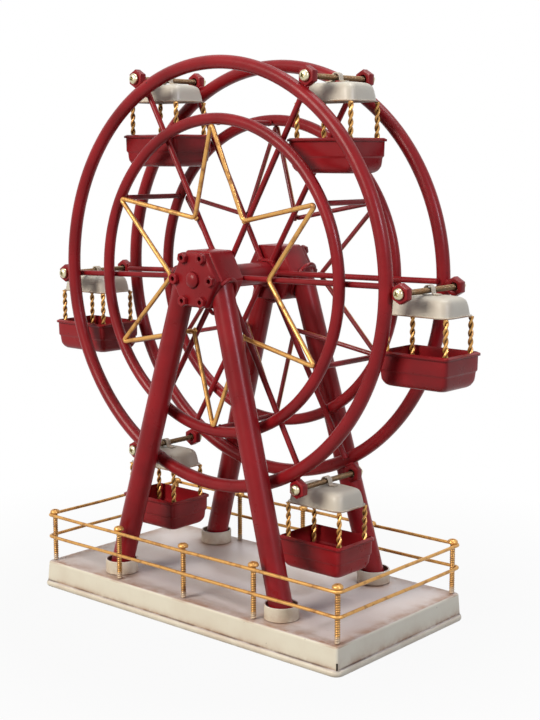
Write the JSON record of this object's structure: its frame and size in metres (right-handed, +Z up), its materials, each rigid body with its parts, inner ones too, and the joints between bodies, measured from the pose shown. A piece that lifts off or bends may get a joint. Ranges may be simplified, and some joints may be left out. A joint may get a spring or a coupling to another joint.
{
  "type": "ferris wheel decoration",
  "caption": "Tabletop ferris wheel of painted metal: a spoked wheel turns on a shaft held by slanted legs over a railed tray, and carries hanging gondolas that stay level.",
  "frame": {"origin": "on the ground, under the middle of the tray", "axes": "+Z up, +Y from the front face of the wheel to the back along the shaft, +X to the right as seen from the front"},
  "size_m": [0.2763, 0.11, 0.2946],
  "materials": {
    "tray_cream_enamel": "worn satin enamel with rust brown patina along the edges",
    "stand_red_enamel": "satin dark red enamel",
    "rail_gold_paint": "old gold paint over cream",
    "wheel_red_enamel": "satin dark red enamel",
    "star_gold_paint": "old gold paint",
    "roof_cream_enamel": "satin cream enamel with a brown worn rim",
    "bucket_red_enamel": "satin dark red enamel",
    "hanger_gold_paint": "gold painted twisted wire",
    "screw_zinc": "yellow zinc plated steel",
    "bush_brass": "plain turned brass"
  },
  "bodies": {
    "stand": {"base_tray": "tray_cream_enamel", "leg_socket_front_left": "tray_cream_enamel", "leg_socket_front_right": "tray_cream_enamel", "leg_socket_back_left": "tray_cream_enamel", "leg_socket_back_right": "tray_cream_enamel", "leg_front_left": "stand_red_enamel", "leg_front_right": "stand_red_enamel", "leg_back_left": "stand_red_enamel", "leg_back_right": "stand_red_enamel", "bearing_housing_front": "stand_red_enamel", "bearing_housing_back": "stand_red_enamel", "housing_cover_front": "stand_red_enamel", "housing_cover_back": "stand_red_enamel", "shaft_bush_front": "bush_brass", "shaft_bush_back": "bush_brass", "rail_post_front_1": "rail_gold_paint", "rail_post_front_2": "rail_gold_paint", "rail_post_front_3": "rail_gold_paint", "rail_post_front_4": "rail_gold_paint", "rail_post_front_5": "rail_gold_paint", "rail_post_back_1": "rail_gold_paint", "rail_post_back_2": "rail_gold_paint", "rail_post_back_3": "rail_gold_paint", "rail_post_back_4": "rail_gold_paint", "rail_post_back_5": "rail_gold_paint", "upper_rail": "rail_gold_paint", "lower_rail": "rail_gold_paint"},
    "wheel": {"main_shaft": "wheel_red_enamel", "outer_ring_front": "wheel_red_enamel", "outer_ring_back": "wheel_red_enamel", "inner_ring_front": "wheel_red_enamel", "inner_ring_back": "wheel_red_enamel", "spokes_front": "wheel_red_enamel", "spokes_back": "wheel_red_enamel", "star_front": "star_gold_paint", "star_back": "star_gold_paint"},
    "gondola_1": {"gondola_1_pivot_screw": "screw_zinc", "gondola_1_roof": "roof_cream_enamel", "gondola_1_hanger": "hanger_gold_paint", "gondola_1_bucket": "bucket_red_enamel"},
    "gondola_2": {"gondola_2_pivot_screw": "screw_zinc", "gondola_2_roof": "roof_cream_enamel", "gondola_2_hanger": "hanger_gold_paint", "gondola_2_bucket": "bucket_red_enamel"},
    "gondola_3": {"gondola_3_pivot_screw": "screw_zinc", "gondola_3_roof": "roof_cream_enamel", "gondola_3_hanger": "hanger_gold_paint", "gondola_3_bucket": "bucket_red_enamel"},
    "gondola_4": {"gondola_4_pivot_screw": "screw_zinc", "gondola_4_roof": "roof_cream_enamel", "gondola_4_hanger": "hanger_gold_paint", "gondola_4_bucket": "bucket_red_enamel"},
    "gondola_5": {"gondola_5_pivot_screw": "screw_zinc", "gondola_5_roof": "roof_cream_enamel", "gondola_5_hanger": "hanger_gold_paint", "gondola_5_bucket": "bucket_red_enamel"},
    "gondola_6": {"gondola_6_pivot_screw": "screw_zinc", "gondola_6_roof": "roof_cream_enamel", "gondola_6_hanger": "hanger_gold_paint", "gondola_6_bucket": "bucket_red_enamel"}
  },
  "joints": [
    {"name": "wheel_spin", "type": "hinge", "parent": "stand", "child": "wheel", "pos_m": [0, 0, 0.1813], "axis": [0, 1, 0], "continuous": true},
    {"name": "gondola_1_hang", "type": "hinge", "parent": "wheel", "child": "gondola_1", "pos_m": [0.1179, 0, 0.18089], "axis": [0, 1, 0], "continuous": true},
    {"name": "gondola_2_hang", "type": "hinge", "parent": "wheel", "child": "gondola_2", "pos_m": [0.06125, 0, 0.28204], "axis": [0, 1, 0], "continuous": true},
    {"name": "gondola_3_hang", "type": "hinge", "parent": "wheel", "child": "gondola_3", "pos_m": [-0.0568, 0, 0.28462], "axis": [0, 1, 0], "continuous": true},
    {"name": "gondola_4_hang", "type": "hinge", "parent": "wheel", "child": "gondola_4", "pos_m": [-0.11782, 0, 0.17698], "axis": [0, 1, 0], "continuous": true},
    {"name": "gondola_5_hang", "type": "hinge", "parent": "wheel", "child": "gondola_5", "pos_m": [-0.06178, 0, 0.08088], "axis": [0, 1, 0], "continuous": true},
    {"name": "gondola_6_hang", "type": "hinge", "parent": "wheel", "child": "gondola_6", "pos_m": [0.05626, 0, 0.07769], "axis": [0, 1, 0], "continuous": true}
  ],
  "couplings": [
    {"joint": "gondola_1_hang", "follows": "wheel_spin", "ratio": -1},
    {"joint": "gondola_2_hang", "follows": "wheel_spin", "ratio": -1},
    {"joint": "gondola_3_hang", "follows": "wheel_spin", "ratio": -1},
    {"joint": "gondola_4_hang", "follows": "wheel_spin", "ratio": -1},
    {"joint": "gondola_5_hang", "follows": "wheel_spin", "ratio": -1},
    {"joint": "gondola_6_hang", "follows": "wheel_spin", "ratio": -1}
  ]
}
